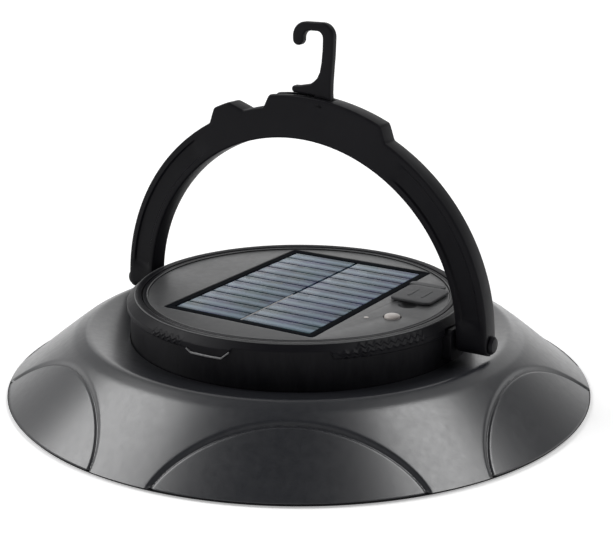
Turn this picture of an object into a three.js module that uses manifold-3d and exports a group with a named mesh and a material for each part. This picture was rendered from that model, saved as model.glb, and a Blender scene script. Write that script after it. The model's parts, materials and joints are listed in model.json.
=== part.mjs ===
// Solar lantern: a round dome shade with a lit underside, a hub that carries a solar panel on its
// top, a half-round bail hinged on the hub's two sides, and a hook that folds into the bail's crown.
//
// Millimetres, +Z up. The origin is the middle of the ring that the lantern stands on.
// +X runs along the bail's hinge line to its right limb, and -Y is the front.

import * as THREE from 'three';
import { mergeVertices } from 'three/addons/utils/BufferGeometryUtils.js';
import Module from 'manifold-3d';

const wasm = await Module();
wasm.setup();

// ---------------------------------------------------------------- driving dimensions

const GAP = 0.3;                  // air between pieces that touch
const ROUND_STEPS = 60;           // facets round the lantern's own axis
const HIDDEN_STEPS = 36;          // the same on pieces that don't show
const SMALL_STEPS = 14;           // facets round pins, screws and bores

const RIM_RADIUS = 99.5;          // dome at its lower edge
const RIM_Z = 1.1;                // lower edge of the dome, above the base ring
const RIDGE_RADIUS = 71.5;        // crest of the dome, outside the dish round the hub
const RIDGE_Z = 20.9;
const SHOULDER_RADIUS = 80;       // below this point the dome is a straight cone
const SHOULDER_Z = 16.2;
const DISH_Z = 17.6;              // floor of the dish where it meets the hub
const SHELL = 2.0;                // wall of the dome
const SCALLOP_COUNT = 6;
const SCALLOP_APEX = 79.3;        // where a scallop's edge comes nearest to the axis
const SCALLOP_HALF = { radial: 16, across: 41.2 };   // its edge is half an ellipse, seen from above
const SCALLOP_DEPTH = 0.4;

const HUB_RADIUS = 57.5;
const HUB_WALL = 2.8;
const HUB_TOP_Z = 27.7;
const HUB_FLOOR_Z = 5.6;
const HUB_FLOOR = 1.6;
const FLANGE_RADIUS = 67;
const FLANGE_Z = 12.7;
const FLANGE = 2.0;
const FIXING_RADIUS = 62.6;       // pitch radius of the four screws through the flange
const FIXING_COUNT = 4;

const CAP_TOP_Z = 32.4;
const CAP_UNDER_Z = 28.0;
const CAP_RADIUS = 58.6;
const CAP_TOP_RADIUS = 55.9;      // outer edge of the flat lip, where the bevel starts
const CAP_BORE = 53.6;
const PLATE_Z = 31.85;            // face of the top plate
const PLATE_RADIUS = CAP_BORE - 0.4;
const PLATE_UNDER_Z = 28.4;

const PANEL_WIDTH = 57.2;         // along X, over its black margin
const PANEL_LENGTH = 81.2;        // along Y
const PANEL_X = 0.3;
const PANEL_Y = 1.9;
const PANEL_MARGIN = 2.6;
const CELL_ROWS = 11;             // strips in each of the two columns

const BUTTON = { x: 40.5, y: -8.2, radius: 2.6, travel: 0.8 };
const STATUS = { x: 33.7, y: -13.2, radius: 0.8 };
const FLAP = { x: 38.6, width: 15, near: 6.6, far: 23.6, thick: 1.2 };
const PORT_Y = 15.5;

const PIVOT_Z = 25.6;             // hinge line of the bail
const BAIL_THICK = 7.42;          // along Y
const BAIL_OUTER = { a: 71.4, b: 69.8 };
const BAIL_INNER = { a: 60.7, b: 59.4 };
const CROWN_RISE = 4.0;           // how far the crown stands above the bail's own curve
const CROWN_HALF = 31.2;          // half width of the crown at its top
const CROWN_FOOT = 34.9;          // half width where its ends run into the limbs
const PIN_RADIUS = 2.0;
const CLIP_X = 52.6;              // middle of the clip that keeps a bail pin in
const CLIP_RADIUS = 3.4;
const BOSS_HALF = 5.5;            // half width of the boss, along Y
const BOSS_TOP_Z = 29.6;
const BOSS_CORNER = 3;
const BOSS_FACE = 60.1;

const HOOK_PIVOT = { x: 9.6, z: 96.9 };
const HOOK_THICK = 3.0;
const HOOK_PIN_RADIUS = 1.2;
const SLOT_WIDTH = HOOK_THICK + 0.7;
const SLOT_LEFT = -19.2;
const SLOT_RIGHT = 13.3;

const CELL_RADIUS = 9.2;          // round lithium cell, 18 mm by 65 mm
const CELL_LENGTH = 65;
const CELL_Z = 18.1;

const LED_COUNT = 12;
const LED_RING_RADIUS = 73;
const LED_SIZE = 5;
const LED_HIGH = 1.5;

// ---------------------------------------------------------------- materials

function material(color, roughness, metalness = 0, opacity = 1) {
  return new THREE.MeshStandardMaterial({ color, roughness, metalness, opacity, transparent: opacity < 1 });
}

const colours = {
  shade: [0x4a4d52, 0.36, 0.35],
  blackPlastic: [0x1e1e21, 0.62],
  hubTop: [0x4c4e50, 0.5],
  panelBlack: [0x0a0b0d, 0.35],
  cells: [0x39506f, 0.3, 0.3],
  resin: [0xdfe8ee, 0.08, 0, 0.3],
  circuit: [0x1d4a33, 0.55],
  whiteBoard: [0xe9e9e4, 0.5],
  led: [0xf2e9b8, 0.25],
  frosted: [0xf0f0ea, 0.4, 0, 0.6],
  buttonWhite: [0xece4e0, 0.35],
  rubber: [0x2b2b2d, 0.85],
  steel: [0xb4b6b8, 0.3, 1],
  cellWrap: [0x2f6f9c, 0.4],
};

// ---------------------------------------------------------------- geometry helpers

/** A point on an ellipse whose centre is on the bail's hinge line. */
function onEllipse({ a, b }, angle) {
  return new THREE.Vector2(a * Math.cos(angle), PIVOT_Z + b * Math.sin(angle));
}

/** Angle at which an ellipse about the hinge line reaches a given x. */
function ellipseAngle({ a }, x) {
  return Math.acos(x / a);
}

function arcPoints(ellipse, from, to, steps) {
  return Array.from({ length: steps + 1 }, (_, i) => onEllipse(ellipse, from + ((to - from) * i) / steps));
}

/** A [r, z] profile turned round Z. It closes on itself unless it starts and ends on the axis. */
function revolve(profile, steps = ROUND_STEPS) {
  const points = profile.map(([r, z]) => new THREE.Vector2(r, z));
  const onAxis = profile[0][0] === 0 && profile.at(-1)[0] === 0;
  if (!onAxis) points.push(points[0].clone());
  if (THREE.ShapeUtils.area(points) < 0) points.reverse();
  const geometry = new THREE.LatheGeometry(points, steps);
  geometry.rotateX(Math.PI / 2);
  return geometry;
}

/** An outline in X and Y pushed up by `high` from `z`. */
function prism(outline, z, high, steps = SMALL_STEPS) {
  const options = { depth: high, bevelEnabled: false, curveSegments: steps };
  return new THREE.ExtrudeGeometry(outline, options).translate(0, 0, z);
}

/** An outline in X and Z, centred on the XZ plane, `thick` along Y. */
function upright(outline, thick, steps = SMALL_STEPS) {
  const options = { depth: thick, bevelEnabled: false, curveSegments: steps };
  const geometry = new THREE.ExtrudeGeometry(outline, options).translate(0, 0, -thick / 2);
  geometry.rotateX(Math.PI / 2);
  return geometry;
}

function box(x0, x1, y0, y1, z0, z1) {
  const geometry = new THREE.BoxGeometry(x1 - x0, y1 - y0, z1 - z0);
  return geometry.translate((x0 + x1) / 2, (y0 + y1) / 2, (z0 + z1) / 2);
}

function cylinderZ(x, y, z0, z1, radius, steps = SMALL_STEPS) {
  const geometry = new THREE.CylinderGeometry(radius, radius, z1 - z0, steps);
  geometry.rotateX(Math.PI / 2);
  return geometry.translate(x, y, (z0 + z1) / 2);
}

function cylinderX(x0, x1, y, z, radius, steps = SMALL_STEPS) {
  const geometry = new THREE.CylinderGeometry(radius, radius, x1 - x0, steps);
  geometry.rotateZ(Math.PI / 2);
  return geometry.translate((x0 + x1) / 2, y, z);
}

function cylinderY(y0, y1, x, z, radius, steps = SMALL_STEPS) {
  return new THREE.CylinderGeometry(radius, radius, y1 - y0, steps).translate(x, (y0 + y1) / 2, z);
}

function roundedRect(width, height, radius, x = 0, y = 0) {
  const shape = new THREE.Shape();
  const w = width / 2 - radius;
  const h = height / 2 - radius;
  shape.absarc(x + w, y + h, radius, 0, Math.PI / 2);
  shape.absarc(x - w, y + h, radius, Math.PI / 2, Math.PI);
  shape.absarc(x - w, y - h, radius, Math.PI, 1.5 * Math.PI);
  shape.absarc(x + w, y - h, radius, 1.5 * Math.PI, 2 * Math.PI);
  shape.closePath();
  return shape;
}

/** A closed geometry as a manifold solid. */
function solid(geometry) {
  const bare = geometry.clone();
  bare.deleteAttribute('normal');
  bare.deleteAttribute('uv');
  const merged = mergeVertices(bare, 1e-4);
  const index = merged.index.array;
  const triangles = [];
  for (let i = 0; i < index.length; i += 3) {
    const [a, b, c] = [index[i], index[i + 1], index[i + 2]];
    if (a !== b && b !== c && c !== a) triangles.push(a, b, c);
  }
  const vertProperties = Float32Array.from(merged.attributes.position.array);
  const triVerts = Uint32Array.from(triangles);
  return new wasm.Manifold(new wasm.Mesh({ numProp: 3, vertProperties, triVerts }));
}

/** A manifold solid as a geometry. */
function geometryOf(manifold) {
  const { numProp, vertProperties, triVerts } = manifold.getMesh();
  const positions = new Float32Array((vertProperties.length / numProp) * 3);
  for (let i = 0; i < positions.length / 3; i += 1) {
    for (let k = 0; k < 3; k += 1) positions[3 * i + k] = vertProperties[numProp * i + k];
  }
  const geometry = new THREE.BufferGeometry();
  geometry.setAttribute('position', new THREE.BufferAttribute(positions, 3));
  geometry.setIndex(new THREE.BufferAttribute(Uint32Array.from(triVerts), 1));
  geometry.computeVertexNormals();
  return geometry;
}

/** One geometry with others joined on and others cut away. */
function carve(base, { add = [], cut = [] }) {
  let body = solid(base);
  for (const piece of add) body = body.add(solid(piece));
  for (const piece of cut) body = body.subtract(solid(piece));
  return geometryOf(body);
}

const lantern = new THREE.Group();

function place(name, geometry, colour, parent = lantern) {
  const mesh = new THREE.Mesh(geometry, material(...colour));
  mesh.name = name;
  parent.add(mesh);
  return mesh;
}

/** Calls make(x, y, angle, number) for places evenly spaced round the axis. */
function around(count, radius, firstAngle, make) {
  for (let i = 0; i < count; i += 1) {
    const angle = firstAngle + (2 * Math.PI * i) / count;
    make(radius * Math.cos(angle), radius * Math.sin(angle), angle, i + 1);
  }
}

// ---------------------------------------------------------------- dome shade and underside

const CONE_SLOPE = (SHOULDER_Z - RIM_Z) / (RIM_RADIUS - SHOULDER_RADIUS);
const CONE_ANGLE = Math.atan(CONE_SLOPE);
const SEAT_RADIUS = 94;           // bore that the diffuser drops into from below
const SEAT_Z = 3.2;

/** Outer surface of the dome from the hub out to the rim, lowered by `drop`. */
function domeOutside(drop = 0) {
  const crown = [[HUB_RADIUS + 0.4, DISH_Z], [RIDGE_RADIUS - 1.5, RIDGE_Z - 0.35], [RIDGE_RADIUS, RIDGE_Z],
    [RIDGE_RADIUS + 1.5, RIDGE_Z - 0.4]];
  const shoulder = new THREE.Vector2(SHOULDER_RADIUS, SHOULDER_Z);
  const bend = new THREE.QuadraticBezierCurve(new THREE.Vector2(...crown.at(-1)), new THREE.Vector2(76.2, 19.1),
    shoulder);
  const curve = bend.getPoints(4).slice(1).map((p) => [p.x, p.y]);
  return [...crown, ...curve, [RIM_RADIUS - 0.5, RIM_Z + 0.5 * CONE_SLOPE], [RIM_RADIUS, RIM_Z]]
    .map(([r, z]) => [r, z - drop]);
}

/** Radius of the dome's inside at a height, on its straight cone. */
function insideRadius(z) {
  const across = SHELL * Math.sin(CONE_ANGLE);
  const down = SHELL * Math.cos(CONE_ANGLE);
  return SHOULDER_RADIUS + (SHOULDER_Z - z - down) / CONE_SLOPE - across;
}

function domeShade() {
  const inside = [[SEAT_RADIUS, RIM_Z], [SEAT_RADIUS, SEAT_Z], [insideRadius(SEAT_Z), SEAT_Z],
    [insideRadius(SHOULDER_Z - SHELL), SHOULDER_Z - SHELL], [RIDGE_RADIUS + 1.2, RIDGE_Z - 2.5],
    [RIDGE_RADIUS - 1.5, RIDGE_Z - 2.5], [HUB_RADIUS + 0.4, DISH_Z - SHELL]];
  const shell = revolve([...domeOutside(), ...inside]);

  const floorZ = RIM_Z - 2;
  const lowered = [[0, floorZ], [RIM_RADIUS, floorZ], ...domeOutside(SCALLOP_DEPTH).reverse(),
    [0, DISH_Z - SCALLOP_DEPTH]];
  const loweredSolid = solid(revolve(lowered));
  let dome = solid(shell);
  around(SCALLOP_COUNT, SCALLOP_APEX + SCALLOP_HALF.radial, 0, (x, y, angle) => {
    const ellipse = cylinderZ(0, 0, floorZ, RIDGE_Z + 5, 1, 40);
    ellipse.scale(SCALLOP_HALF.radial, SCALLOP_HALF.across, 1);
    const scallop = solid(ellipse.rotateZ(angle).translate(x, y, 0));
    dome = dome.subtract(scallop.subtract(loweredSolid));
  });
  around(FIXING_COUNT, FIXING_RADIUS, Math.PI / 4, (x, y) => {
    const post = solid(cylinderZ(x, y, FLANGE_Z + FLANGE + GAP, DISH_Z - 0.4, 3, 10));
    const hole = solid(cylinderZ(x, y, FLANGE_Z, DISH_Z - 1.2, 1.3 + GAP, 10));
    dome = dome.add(post).subtract(hole);
  });
  return geometryOf(dome);
}

place('dome_shade', domeShade(), colours.shade);

const DIFFUSER_RADIUS = SEAT_RADIUS - 0.4;
place('diffuser_lens', revolve([
  [0, 3.1], [50, 2.5], [DIFFUSER_RADIUS, RIM_Z], [DIFFUSER_RADIUS, SEAT_Z - GAP],
  [DIFFUSER_RADIUS - 6, SEAT_Z - GAP], [50, 4.4], [0, 5.0]], HIDDEN_STEPS), colours.frosted);

place('base_ring', revolve([
  [SEAT_RADIUS - 4, 0], [RIM_RADIUS - 1.1, 0], [RIM_RADIUS - 0.7, 0.4], [RIM_RADIUS - 0.7, RIM_Z - GAP],
  [SEAT_RADIUS - 4, RIM_Z - GAP]]), colours.blackPlastic);

const REFLECTOR_TOP_Z = 10.4;
const REFLECTOR_FOOT_Z = 3.8;
place('reflector_cone', revolve([
  [insideRadius(REFLECTOR_FOOT_Z) - 0.5, REFLECTOR_FOOT_Z], [insideRadius(REFLECTOR_TOP_Z) - 0.5, REFLECTOR_TOP_Z],
  [insideRadius(REFLECTOR_TOP_Z) - 2, REFLECTOR_TOP_Z], [insideRadius(REFLECTOR_FOOT_Z) - 2, REFLECTOR_FOOT_Z],
], HIDDEN_STEPS), colours.whiteBoard);

const BOARD_THICK = 1.6;          // both circuit boards
const BOARD_Z = FLANGE_Z - GAP - BOARD_THICK;
function ledBoard() {
  const [inner, outer, top] = [HUB_RADIUS + 0.8, 81, BOARD_Z + BOARD_THICK];
  const ring = revolve([[inner, BOARD_Z], [outer, BOARD_Z], [outer, top], [inner, top]], HIDDEN_STEPS);
  const holes = [];
  around(FIXING_COUNT, FIXING_RADIUS, Math.PI / 4, (x, y) => {
    holes.push(cylinderZ(x, y, BOARD_Z - 1, FLANGE_Z, 1.3 + GAP));
  });
  return carve(ring, { cut: holes });
}

place('led_board', ledBoard(), colours.whiteBoard);

around(LED_COUNT, LED_RING_RADIUS, 0, (x, y, angle, number) => {
  const top = BOARD_Z - GAP;
  const led = box(-LED_SIZE / 2, LED_SIZE / 2, -LED_SIZE / 2, LED_SIZE / 2, top - LED_HIGH, top);
  const mesh = place(`led_${String(number).padStart(2, '0')}`, led, colours.led);
  mesh.position.set(x, y, 0);
  mesh.rotation.z = angle;
});

around(FIXING_COUNT, FIXING_RADIUS, Math.PI / 4, (x, y, angle, number) => {
  const headTop = BOARD_Z - GAP;
  const screw = revolve([[0, headTop - 1.6], [1.8, headTop - 1.6], [2.5, headTop - 0.9], [2.5, headTop],
    [1.3, headTop], [1.3, DISH_Z - 1.6], [0, DISH_Z - 1.6]], SMALL_STEPS);
  place(`hub_screw_${number}`, screw, colours.steel).position.set(x, y, 0);
});

// ---------------------------------------------------------------- hub

const BOARD_POSTS = [[26, -15], [26, 18]];
const CONTROL_Z = 20;             // underside of the control board

/** Outline in Y and Z of the boss that carries a bail pin, grown by `grow`. */
function bossOutline(grow = 0) {
  const shape = new THREE.Shape();
  const corner = BOSS_CORNER + grow;
  const foot = DISH_Z + 1.4 - grow;
  const cornerY = BOSS_HALF - BOSS_CORNER;
  const cornerZ = BOSS_TOP_Z - BOSS_CORNER;
  shape.moveTo(-BOSS_HALF - grow, foot);
  shape.lineTo(BOSS_HALF + grow, foot);
  shape.absarc(cornerY, cornerZ, corner, 0, Math.PI / 2);
  shape.absarc(-cornerY, cornerZ, corner, Math.PI / 2, Math.PI);
  shape.closePath();
  return shape;
}

/** The boss on the side of the hub that `side` (+1 or -1) names, grown by `grow`. */
function boss(side, grow = 0) {
  const inner = HUB_RADIUS - 0.9 - grow;
  const outer = BOSS_FACE + 10 * grow;
  const options = { depth: outer - inner, bevelEnabled: false, curveSegments: 12 };
  const geometry = new THREE.ExtrudeGeometry(bossOutline(grow), options);
  geometry.applyMatrix4(new THREE.Matrix4().set(0, 0, 1, inner, 1, 0, 0, 0, 0, 1, 0, 0, 0, 0, 0, 1));
  return side > 0 ? geometry : geometry.rotateZ(Math.PI);
}

function hubHousing() {
  const inner = HUB_RADIUS - HUB_WALL;
  const floorTop = HUB_FLOOR_Z + HUB_FLOOR;
  const cup = revolve([[0, HUB_FLOOR_Z], [HUB_RADIUS, HUB_FLOOR_Z], [HUB_RADIUS, FLANGE_Z],
    [FLANGE_RADIUS, FLANGE_Z], [FLANGE_RADIUS, FLANGE_Z + FLANGE], [HUB_RADIUS, FLANGE_Z + FLANGE],
    [HUB_RADIUS, HUB_TOP_Z], [inner, HUB_TOP_Z], [inner, floorTop], [0, floorTop]]);
  const posts = BOARD_POSTS.map(([x, y]) => cylinderZ(x, y, floorTop - 0.5, CONTROL_Z - GAP, 3));
  const postHoles = BOARD_POSTS.map(([x, y]) => cylinderZ(x, y, CONTROL_Z - 7, CONTROL_Z + 1, 1.3));
  const pinBores = [[-66, -50], [50, 66]].map(([x0, x1]) => cylinderX(x0, x1, 0, PIVOT_Z, PIN_RADIUS + GAP));
  const flangeHoles = [];
  around(FIXING_COUNT, FIXING_RADIUS, Math.PI / 4, (x, y) => {
    flangeHoles.push(cylinderZ(x, y, FLANGE_Z - 1, FLANGE_Z + FLANGE + 1, 1.3 + GAP));
  });
  return carve(cup, { add: [...posts, boss(1), boss(-1)], cut: [...postHoles, ...pinBores, ...flangeHoles] });
}

place('hub_housing', hubHousing(), colours.blackPlastic);

const SEAL_INNER = 55.2;
const SEAL_OUTER = 56.4;
place('hub_seal', revolve([[SEAL_INNER + GAP, CAP_UNDER_Z], [SEAL_OUTER - GAP, CAP_UNDER_Z],
  [SEAL_OUTER - GAP, CAP_UNDER_Z + 0.6], [SEAL_INNER + GAP, CAP_UNDER_Z + 0.6]]), colours.rubber);

const LEDGE_RADIUS = 50.4;        // inner edge of the ledge that the top plate rests on
const SPIGOT_RADIUS = HUB_RADIUS - HUB_WALL - 0.4;
const SKIRT_STEP_Z = 30.4;        // height of the skirt's raised edge at the front

/** A block that stands across the cap's skirt, between two angles in degrees. */
function skirtCut(fromDeg, toDeg, topZ) {
  const [from, to] = [fromDeg, toDeg].map(THREE.MathUtils.degToRad);
  const shape = new THREE.Shape();
  shape.absarc(0, 0, HUB_RADIUS + 5, from, to);
  shape.absarc(0, 0, HUB_RADIUS + 0.1, to, from, true);
  shape.closePath();
  return prism(shape, CAP_UNDER_Z - 3, topZ - CAP_UNDER_Z + 3, 12);
}

/** The thumb tab that hangs from the skirt in front of the hub wall. */
function thumbTab() {
  const [from, to] = [-93, -80].map(THREE.MathUtils.degToRad);
  const shape = new THREE.Shape();
  shape.absarc(0, 0, CAP_RADIUS, from, to);
  shape.absarc(0, 0, HUB_RADIUS + GAP, to, from, true);
  shape.closePath();
  return prism(shape, CAP_UNDER_Z - 1.1, 2.4, 8);
}

/** Room in the spigot and its ledge for the inner end of a bail pin and its clip. */
function pinRelief(side) {
  const [near, far] = [LEDGE_RADIUS - 2, SPIGOT_RADIUS + 0.1];
  return box(Math.min(side * near, side * far), Math.max(side * near, side * far), -CLIP_RADIUS - 0.8,
    CLIP_RADIUS + 0.8, CAP_UNDER_Z - 4, CAP_UNDER_Z + 1.5);
}

function capRing() {
  const ring = revolve([[SPIGOT_RADIUS - 2, CAP_UNDER_Z - 3.2], [SPIGOT_RADIUS, CAP_UNDER_Z - 3.2],
    [SPIGOT_RADIUS, CAP_UNDER_Z], [SEAL_INNER, CAP_UNDER_Z], [SEAL_INNER, CAP_UNDER_Z + 0.9],
    [SEAL_OUTER, CAP_UNDER_Z + 0.9], [SEAL_OUTER, CAP_UNDER_Z], [CAP_RADIUS, CAP_UNDER_Z],
    [CAP_RADIUS, CAP_TOP_Z - 2.5], [CAP_TOP_RADIUS, CAP_TOP_Z], [CAP_BORE, CAP_TOP_Z],
    [CAP_BORE, CAP_UNDER_Z + 1.4], [LEDGE_RADIUS, CAP_UNDER_Z + 1.4], [LEDGE_RADIUS, CAP_UNDER_Z + 0.2]]);
  return carve(ring, { add: [thumbTab()], cut: [skirtCut(-78, -48, SKIRT_STEP_Z),
    boss(1, 0.4), boss(-1, 0.4), pinRelief(1), pinRelief(-1)] });
}

place('cap_ring', capRing(), colours.blackPlastic);

// ---------------------------------------------------------------- top plate and what it carries

const POCKET_Z = 29.95;           // floor of the solar panel's pocket
const FLAP_Z = PLATE_Z + GAP;

function topPlate() {
  const rimZ = PLATE_Z + 0.35;
  const plate = revolve([[0, PLATE_UNDER_Z], [LEDGE_RADIUS - 0.4, PLATE_UNDER_Z],
    [LEDGE_RADIUS - 0.4, CAP_UNDER_Z + 1.4 + GAP], [PLATE_RADIUS, CAP_UNDER_Z + 1.4 + GAP], [PLATE_RADIUS, rimZ],
    [PLATE_RADIUS - 1.5, rimZ], [PLATE_RADIUS - 1.7, PLATE_Z], [0, PLATE_Z]]);
  const pocketOutline = roundedRect(PANEL_WIDTH + 2 * GAP, PANEL_LENGTH + 2 * GAP, 1.2, PANEL_X, PANEL_Y);
  const pocket = prism(pocketOutline, POCKET_Z, 5, 4);
  const wireHole = cylinderZ(PANEL_X, PANEL_Y + 30, PLATE_UNDER_Z - 1, PLATE_Z, 2.5);
  const buttonHole = cylinderZ(BUTTON.x, BUTTON.y, PLATE_UNDER_Z - 1, PLATE_Z + 1, BUTTON.radius + 0.35);
  const statusHole = cylinderZ(STATUS.x, STATUS.y, PLATE_UNDER_Z - 1, PLATE_Z + 1, STATUS.radius + GAP, 12);
  const portHole = box(FLAP.x - 4.8, FLAP.x + 4.8, PORT_Y - 2.6, PORT_Y + 2.6, PLATE_UNDER_Z - 1, PLATE_Z + 1);
  const fingerScoop = new THREE.SphereGeometry(4.4, 14, 8).translate(FLAP.x + 0.6, FLAP.near - 1.4, PLATE_Z + 3.1);
  return carve(plate, { cut: [pocket, wireHole, buttonHole, statusHole, portHole, fingerScoop] });
}

place('top_plate', topPlate(), colours.hubTop);

const BOARD_TOP_Z = POCKET_Z + GAP + 0.6;
place('panel_board', prism(roundedRect(PANEL_WIDTH, PANEL_LENGTH, 1, PANEL_X, PANEL_Y), POCKET_Z + GAP, 0.6, 4),
  colours.panelBlack);

function panelMargin() {
  const frame = roundedRect(PANEL_WIDTH, PANEL_LENGTH, 1, PANEL_X, PANEL_Y);
  const window = [PANEL_WIDTH - 2 * PANEL_MARGIN, PANEL_LENGTH - 2 * PANEL_MARGIN];
  frame.holes.push(roundedRect(...window, 0.5, PANEL_X, PANEL_Y));
  return prism(frame, BOARD_TOP_Z + 0.02, PLATE_Z - 0.2 - BOARD_TOP_Z, 4);
}

place('panel_margin', panelMargin(), colours.panelBlack);

const COLUMN_GAP = 0.9;
const CELLS_WIDTH = PANEL_WIDTH - 2 * PANEL_MARGIN - 2 * GAP;
const CELLS_LENGTH = PANEL_LENGTH - 2 * PANEL_MARGIN - 2 * GAP;

/** One column of cell strips: a sheet with a shallow nick between each strip and the next. */
function cellColumn(side) {
  const columnWidth = (CELLS_WIDTH - COLUMN_GAP) / 2;
  const pitch = CELLS_LENGTH / CELL_ROWS;
  const low = PANEL_Y - CELLS_LENGTH / 2;
  const outline = new THREE.Shape();
  outline.moveTo(low, 0);
  outline.lineTo(low + CELLS_LENGTH, 0);
  for (let row = CELL_ROWS; row > 0; row -= 1) {
    const start = low + (row - 1) * pitch;
    outline.lineTo(start + pitch - (row === CELL_ROWS ? 0 : 0.2), 0.35);
    if (row > 1) {
      outline.lineTo(start + 0.2, 0.35);
      outline.lineTo(start, 0.15);
    }
  }
  outline.lineTo(low, 0.35);
  outline.closePath();
  const geometry = new THREE.ExtrudeGeometry(outline, { depth: columnWidth, bevelEnabled: false });
  const x = PANEL_X + side * (columnWidth + COLUMN_GAP) / 2 - columnWidth / 2;
  geometry.applyMatrix4(new THREE.Matrix4().set(0, 0, 1, x, 1, 0, 0, 0, 0, 1, 0, BOARD_TOP_Z + 0.02, 0, 0, 0, 1));
  return geometry;
}

place('panel_cells_left', cellColumn(-1), colours.cells);
place('panel_cells_right', cellColumn(1), colours.cells);

const RESIN_Z = BOARD_TOP_Z + 0.45;
place('panel_resin', box(PANEL_X - CELLS_WIDTH / 2, PANEL_X + CELLS_WIDTH / 2, PANEL_Y - CELLS_LENGTH / 2,
  PANEL_Y + CELLS_LENGTH / 2, RESIN_Z, PLATE_Z - 0.2), colours.resin);

function powerButton() {
  const flangeZ = PLATE_UNDER_Z - GAP;
  return revolve([[0, flangeZ - 0.9], [BUTTON.radius + 1.3, flangeZ - 0.9], [BUTTON.radius + 1.3, flangeZ],
    [BUTTON.radius, flangeZ], [BUTTON.radius, PLATE_Z + 0.2], [BUTTON.radius - 0.5, PLATE_Z + 0.65],
    [0, PLATE_Z + 0.95]], SMALL_STEPS);
}

place('power_button', powerButton(), colours.buttonWhite).position.set(BUTTON.x, BUTTON.y, 0);

place('status_lens', cylinderZ(STATUS.x, STATUS.y, PLATE_UNDER_Z, PLATE_Z + 0.1, STATUS.radius, 12),
  colours.buttonWhite);

function portFlap() {
  const middle = (FLAP.near + FLAP.far) / 2;
  const pad = prism(roundedRect(FLAP.width, FLAP.far - FLAP.near, 2.4, FLAP.x, middle), FLAP_Z, FLAP.thick, 5);
  const plug = box(FLAP.x - 3.2, FLAP.x + 3.2, PORT_Y - 0.7, PORT_Y + 0.7, FLAP_Z - 1.4, FLAP_Z + 0.4);
  return carve(pad, { add: [plug] });
}

place('port_flap', portFlap(), colours.rubber);
place('flap_anchor', prism(roundedRect(FLAP.width - 2, 3.4, 0.8, FLAP.x - 2.5, FLAP.far + 2.4), FLAP_Z, FLAP.thick, 4),
  colours.rubber);

// ---------------------------------------------------------------- electronics

const CONTROL_TOP_Z = CONTROL_Z + BOARD_THICK;
place('control_board', carve(box(21, 46, -20, 23, CONTROL_Z, CONTROL_TOP_Z), {
  cut: BOARD_POSTS.map(([x, y]) => cylinderZ(x, y, CONTROL_Z - 1, CONTROL_Z + 3, 1.6)) }), colours.circuit);

BOARD_POSTS.forEach(([x, y], i) => {
  const seat = CONTROL_TOP_Z + GAP;
  const screw = revolve([[0, CONTROL_Z - 5], [1, CONTROL_Z - 5], [1, seat], [2.4, seat], [2.4, seat + 0.8],
    [1.6, seat + 1.5], [0, seat + 1.5]], SMALL_STEPS);
  place(`board_screw_${i + 1}`, screw, colours.steel).position.set(x, y, 0);
});

const SWITCH_TOP_Z = PLATE_UNDER_Z - GAP - 0.9 - BUTTON.travel - GAP;
place('button_switch', carve(box(BUTTON.x - 3, BUTTON.x + 3, BUTTON.y - 3, BUTTON.y + 3, CONTROL_TOP_Z + GAP,
  SWITCH_TOP_Z - 1.5), { add: [cylinderZ(BUTTON.x, BUTTON.y, SWITCH_TOP_Z - 2, SWITCH_TOP_Z, 1.7)] }),
colours.blackPlastic);

const SOCKET_TOP_Z = PLATE_Z - 1.5;
place('charge_socket', carve(box(FLAP.x - 4.2, FLAP.x + 4.2, PORT_Y - 1.9, PORT_Y + 1.9, CONTROL_TOP_Z + GAP,
  SOCKET_TOP_Z), { cut: [box(FLAP.x - 3.6, FLAP.x + 3.6, PORT_Y - 1.2, PORT_Y + 1.2, SOCKET_TOP_Z - 5,
  SOCKET_TOP_Z + 1)] }), colours.steel);

const CRADLE_HALF = 35.6;
function batteryCradle() {
  const base = box(-11.8, 11.8, -CRADLE_HALF, CRADLE_HALF, HUB_FLOOR_Z + HUB_FLOOR + GAP, 23);
  const trough = cylinderY(-CELL_LENGTH / 2 - 0.9, CELL_LENGTH / 2 + 0.9, 0, CELL_Z, CELL_RADIUS + 0.35, 24);
  const mouth = box(-12.5, 12.5, -CELL_LENGTH / 2 - 0.9, CELL_LENGTH / 2 + 0.9, 15, 30);
  return carve(base, { cut: [trough, mouth] });
}

place('battery_cradle', batteryCradle(), colours.blackPlastic);
place('battery_cell', cylinderY(-CELL_LENGTH / 2, CELL_LENGTH / 2, 0, CELL_Z, CELL_RADIUS, 24), colours.cellWrap);

[['plus', 1], ['minus', -1]].forEach(([end, side]) => {
  const y = side * (CELL_LENGTH / 2 + 0.45);
  place(`battery_contact_${end}`, box(-5, 5, y - 0.15, y + 0.15, CELL_Z - 5, CELL_Z + 8), colours.steel);
});

// ---------------------------------------------------------------- bail and its pins

const crown = { a: BAIL_OUTER.a + CROWN_RISE, b: BAIL_OUTER.b + CROWN_RISE };

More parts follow.
